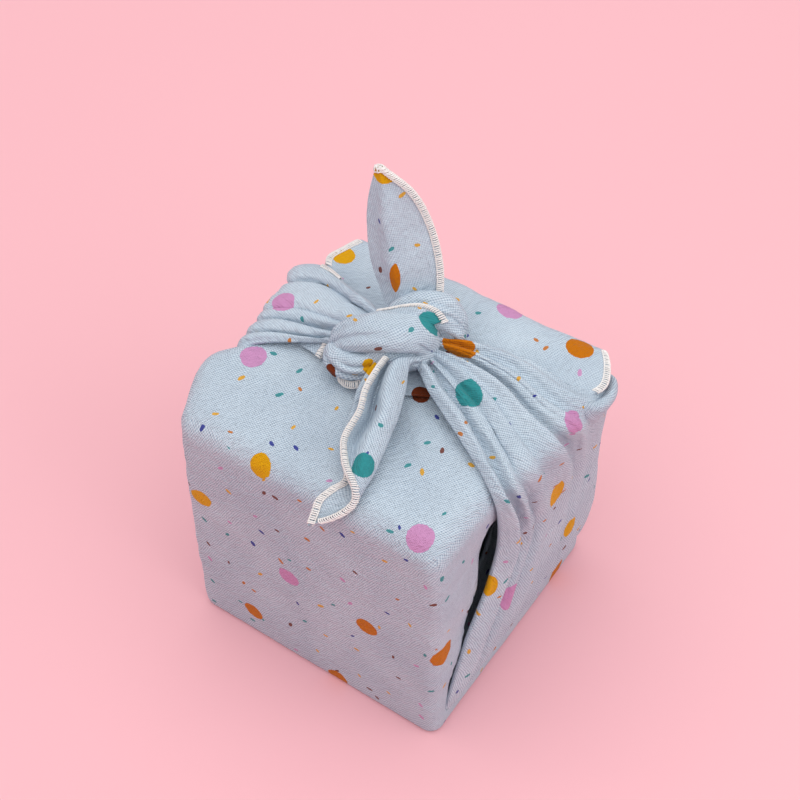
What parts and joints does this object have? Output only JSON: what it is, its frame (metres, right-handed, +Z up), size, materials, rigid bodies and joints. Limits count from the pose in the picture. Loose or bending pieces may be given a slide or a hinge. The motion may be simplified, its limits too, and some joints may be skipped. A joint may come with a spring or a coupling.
{
  "type": "furoshiki wrap",
  "caption": "Square cloth wrapped round a box shape and tied on top in a square knot with two free tails; hollow inside and flat underneath.",
  "frame": {"origin": "on the surface it rests on, at the middle of the wrapped body's flat bottom", "axes": "+Z up; +X to the right and +Y to the back, seen from the smooth front panel"},
  "size_m": [0.1404, 0.1266, 0.1981],
  "materials": {
    "cloth": "matte cotton double gauze, light blue with a scattered dot print and white overlocked edges"
  },
  "bodies": {
    "root": {"furoshiki_cloth": "cloth"}
  },
  "joints": []
}
